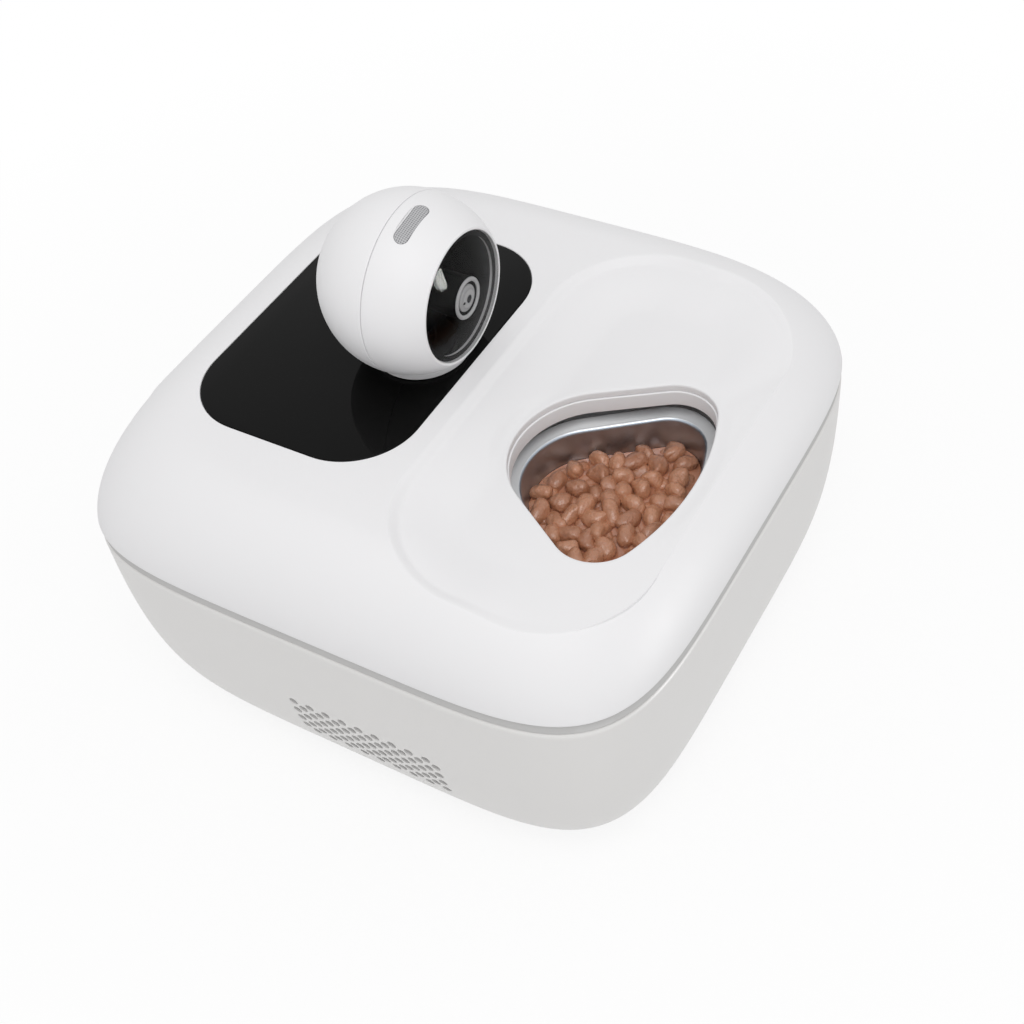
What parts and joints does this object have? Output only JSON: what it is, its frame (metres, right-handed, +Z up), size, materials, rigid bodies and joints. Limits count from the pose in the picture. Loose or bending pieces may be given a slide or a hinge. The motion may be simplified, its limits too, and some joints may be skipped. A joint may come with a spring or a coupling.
{
  "type": "wet food feeder with camera",
  "caption": "Chilled pet feeder: a steel bowl carousel turns in a cooled tub under a hinged lid with one serving opening, a black glass panel and a ball camera on top.",
  "frame": {"origin": "on the floor, under the middle of the overall box", "axes": "+Z up; -Y is the side the pet eats from, with the serving opening and the camera window; +Y is the hinge side; -X is the side with the air vents"},
  "size_m": [0.32, 0.3374, 0.2704],
  "materials": {
    "casing_white": "glossy white moulded plastic",
    "base_white": "satin warm white moulded plastic",
    "inner_white": "satin pale grey moulded plastic",
    "seal_grey": "matt grey silicone",
    "foot_rubber": "matt black rubber",
    "black_glass": "polished black glass",
    "smoked_glass": "polished smoked window",
    "status_grey": "fine grey light diffuser mesh",
    "black_plastic": "satin black moulded plastic",
    "bowl_steel": "polished deep-drawn stainless steel",
    "machine_steel": "turned bright steel",
    "aluminium": "milled and extruded, satin",
    "gear_plastic": "natural acetal, satin",
    "foam": "matt closed-cell foam",
    "ceramic": "matt white ceramic plate",
    "circuit_board": "green solder mask",
    "food": "glossy meat pieces in gravy"
  },
  "bodies": {
    "root": {"base_shell": "base_white", "bottom_cover": "inner_white", "foot_1": "foot_rubber", "foot_2": "foot_rubber", "foot_3": "foot_rubber", "foot_4": "foot_rubber", "cover_screw_1": "machine_steel", "cover_screw_2": "machine_steel", "cover_screw_3": "machine_steel", "cover_screw_4": "machine_steel", "cooling_tub": "inner_white", "tub_gasket": "seal_grey", "insulation_pad": "foam", "cold_plate": "aluminium", "thermoelectric_module": "ceramic", "heat_sink": "aluminium", "fan_frame": "black_plastic", "gear_motor": "machine_steel", "spindle": "machine_steel", "bearing_lower": "machine_steel", "bearing_upper": "machine_steel", "main_board": "circuit_board", "dc_inlet": "black_plastic", "hinge_pin": "machine_steel"},
    "fan": {"fan_rotor": "black_plastic"},
    "pinion": {"drive_pinion": "gear_plastic"},
    "carousel": {"carousel_tray": "inner_white", "ring_gear": "gear_plastic", "centre_cap": "inner_white", "bowl_1": "bowl_steel", "bowl_2": "bowl_steel", "bowl_3": "bowl_steel", "bowl_4": "bowl_steel", "bowl_5": "bowl_steel", "wet_food": "food"},
    "lid": {"lid_shell": "casing_white", "opening_skirt": "casing_white", "touch_panel": "black_glass", "panel_board": "circuit_board", "pan_motor": "machine_steel", "camera_foot": "casing_white"},
    "camera_head": {"camera_yoke": "inner_white", "head_rear_shell": "casing_white", "head_front_shell": "casing_white", "status_light": "status_grey", "face_glass": "smoked_glass"},
    "camera_eye": {"lens_barrel": "black_plastic", "lens_glass": "smoked_glass", "camera_board": "circuit_board"}
  },
  "joints": [
    {"name": "carousel_spin", "type": "hinge", "parent": "root", "child": "carousel", "pos_m": [-0.019, -0.0087, 0.12], "axis": [0, 0, 1], "continuous": true},
    {"name": "pinion_spin", "type": "hinge", "parent": "root", "child": "pinion", "pos_m": [0.03615, 0.03758, 0.0995], "axis": [0, 0, 1], "continuous": true},
    {"name": "fan_spin", "type": "hinge", "parent": "root", "child": "fan", "pos_m": [-0.1203, -0.0207, 0.0517], "axis": [1, 0, 0], "continuous": true},
    {"name": "lid_open", "type": "hinge", "parent": "root", "child": "lid", "pos_m": [0, 0.1655, 0.13], "axis": [-1, 0, 0], "range_deg": [0, 75]},
    {"name": "camera_pan", "type": "hinge", "parent": "lid", "child": "camera_head", "pos_m": [0, 0.0218, 0.2], "axis": [0, 0, 1], "range_deg": [-165, 165]},
    {"name": "camera_tilt", "type": "hinge", "parent": "camera_head", "child": "camera_eye", "pos_m": [0, 0.0218, 0.224], "axis": [1, 0, 0], "range_deg": [-25, 25]}
  ],
  "couplings": [
    {"joint": "pinion_spin", "follows": "carousel_spin", "ratio": -5}
  ]
}
